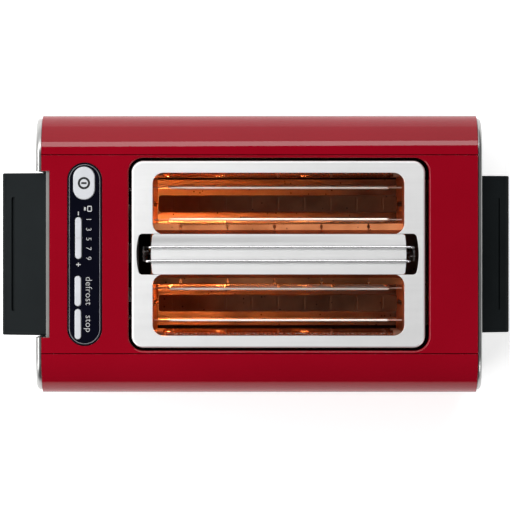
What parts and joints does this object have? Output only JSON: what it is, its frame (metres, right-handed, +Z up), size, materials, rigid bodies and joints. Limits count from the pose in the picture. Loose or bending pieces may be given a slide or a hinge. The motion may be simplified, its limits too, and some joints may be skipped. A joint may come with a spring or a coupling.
{
  "type": "pop up toaster",
  "caption": "Two-slot pop-up toaster with painted shells, steel slot plate, lift lever, side handle, control panel and a folding bun rack.",
  "frame": {"origin": "on the resting plane, under the middle of the overall box", "axes": "+X to the cord end with the fixed handle, +Y to the rear, +Z up"},
  "size_m": [0.4082, 0.2234, 0.2087],
  "materials": {
    "red_paint": "glossy",
    "brushed_steel": "brushed",
    "chrome": "polished",
    "plain_steel": "satin",
    "reflector_steel": "satin, heat tinted",
    "quartz": "clear",
    "rubber": "matt",
    "black_plastic": "fine grained",
    "grey_plastic": "satin",
    "black_gloss": "glossy",
    "button_grey": "satin",
    "copper_coil": "enamelled wire",
    "circuit_board": "satin",
    "light_guide": "frosted"
  },
  "bodies": {
    "body": {"front_shell": "red_paint", "rear_shell": "red_paint", "top_deck": "red_paint", "lever_end_cap": "brushed_steel", "cord_end_cap": "brushed_steel", "slot_plate": "brushed_steel", "centre_bar": "brushed_steel", "panel_ring": "chrome", "guide_rod_front": "plain_steel", "guide_rod_rear": "plain_steel", "lift_spring": "plain_steel", "chamber_wall_lever_end": "plain_steel", "chamber_wall_cord_end": "plain_steel", "foot_front_left": "rubber", "base_screw_front_left": "plain_steel", "foot_front_right": "rubber", "base_screw_front_right": "plain_steel", "foot_rear_left": "rubber", "base_screw_rear_left": "plain_steel", "foot_rear_right": "rubber", "base_screw_rear_right": "plain_steel", "outer_reflector_front": "reflector_steel", "outer_reflector_rear": "reflector_steel", "inner_reflector_front": "reflector_steel", "inner_reflector_rear": "reflector_steel", "heater_outer_front_lower": "quartz", "heater_outer_front_upper": "quartz", "heater_inner_front_lower": "quartz", "heater_inner_front_upper": "quartz", "heater_outer_rear_lower": "quartz", "heater_outer_rear_upper": "quartz", "heater_inner_rear_lower": "quartz", "heater_inner_rear_upper": "quartz", "side_handle": "black_plastic", "cord_gland": "black_plastic", "base_plate": "black_plastic", "lever_channel": "grey_plastic", "latch_magnet": "copper_coil", "control_panel": "black_gloss", "control_board": "circuit_board", "light_guide": "light_guide"},
    "lift": {"lift_lever": "black_plastic", "carriage": "plain_steel", "bread_rack_front": "plain_steel", "bread_rack_rear": "plain_steel", "keeper_plate": "plain_steel"},
    "guard_inner_front": {"guard_inner_front": "plain_steel"},
    "guard_outer_front": {"guard_outer_front": "plain_steel"},
    "guard_inner_rear": {"guard_inner_rear": "plain_steel"},
    "guard_outer_rear": {"guard_outer_rear": "plain_steel"},
    "bun_lift": {"bun_lift_frame": "plain_steel"},
    "bun_bail_front": {"bun_bail_front": "chrome"},
    "bun_bail_rear": {"bun_bail_rear": "chrome"},
    "crumb_tray": {"crumb_tray": "plain_steel"},
    "power_button": {"power_button": "button_grey"},
    "browning_rocker": {"browning_rocker": "button_grey"},
    "defrost_button": {"defrost_button": "button_grey"},
    "stop_button": {"stop_button": "button_grey"}
  },
  "joints": [
    {"name": "lift_slide", "type": "slide", "parent": "body", "child": "lift", "axis": [0, 0, 1], "range_m": [-0.06, 0.01], "stiffness_N_per_m": 150, "springref_m": 0.02, "deforming": ["lift_spring"]},
    {"name": "guard_inner_rear_hinge", "type": "hinge", "parent": "body", "child": "guard_inner_rear", "pos_m": [0.01825, 0.0257, 0.05], "axis": [1, 0, 0], "range_deg": [-3.2, 0.6]},
    {"name": "guard_outer_rear_hinge", "type": "hinge", "parent": "body", "child": "guard_outer_rear", "pos_m": [0.01825, 0.0557, 0.05], "axis": [1, 0, 0], "range_deg": [-0.6, 3.2]},
    {"name": "guard_inner_front_hinge", "type": "hinge", "parent": "body", "child": "guard_inner_front", "pos_m": [0.01825, -0.0257, 0.05], "axis": [1, 0, 0], "range_deg": [-0.6, 3.2]},
    {"name": "guard_outer_front_hinge", "type": "hinge", "parent": "body", "child": "guard_outer_front", "pos_m": [0.01825, -0.0557, 0.05], "axis": [1, 0, 0], "range_deg": [-3.2, 0.6]},
    {"name": "bun_lift_slide", "type": "slide", "parent": "body", "child": "bun_lift", "axis": [0, 0, 1], "range_m": [0, 0.04]},
    {"name": "bun_bail_rear_hinge", "type": "hinge", "parent": "bun_lift", "child": "bun_bail_rear", "pos_m": [0.01825, 0.002, 0.1678], "axis": [1, 0, 0], "range_deg": [-55.2, 0]},
    {"name": "bun_bail_front_hinge", "type": "hinge", "parent": "bun_lift", "child": "bun_bail_front", "pos_m": [0.01825, -0.002, 0.1678], "axis": [1, 0, 0], "range_deg": [0, 55.2]},
    {"name": "crumb_tray_slide", "type": "slide", "parent": "body", "child": "crumb_tray", "axis": [1, 0, 0], "range_m": [0, 0.25]},
    {"name": "power_button_press", "type": "slide", "parent": "body", "child": "power_button", "axis": [0, 0, 1], "range_m": [-0.0012, 0], "stiffness_N_per_m": 500},
    {"name": "defrost_button_press", "type": "slide", "parent": "body", "child": "defrost_button", "axis": [0, 0, 1], "range_m": [-0.0012, 0], "stiffness_N_per_m": 500},
    {"name": "stop_button_press", "type": "slide", "parent": "body", "child": "stop_button", "axis": [0, 0, 1], "range_m": [-0.0012, 0], "stiffness_N_per_m": 500},
    {"name": "browning_rocker_tilt", "type": "hinge", "parent": "body", "child": "browning_rocker", "pos_m": [-0.1419, 0.013, 0.2016], "axis": [1, 0, 0], "range_deg": [-3, 3], "stiffness_Nm_per_rad": 0.05}
  ],
  "couplings": [
    {"joint": "guard_inner_rear_hinge", "follows": "lift_slide", "rad_per_m": 0.8727},
    {"joint": "guard_outer_rear_hinge", "follows": "lift_slide", "rad_per_m": -0.8727},
    {"joint": "guard_inner_front_hinge", "follows": "lift_slide", "rad_per_m": -0.8727},
    {"joint": "guard_outer_front_hinge", "follows": "lift_slide", "rad_per_m": 0.8727},
    {"joint": "bun_bail_rear_hinge", "follows": "bun_lift_slide", "rad_per_m": -24},
    {"joint": "bun_bail_front_hinge", "follows": "bun_lift_slide", "rad_per_m": 24}
  ]
}
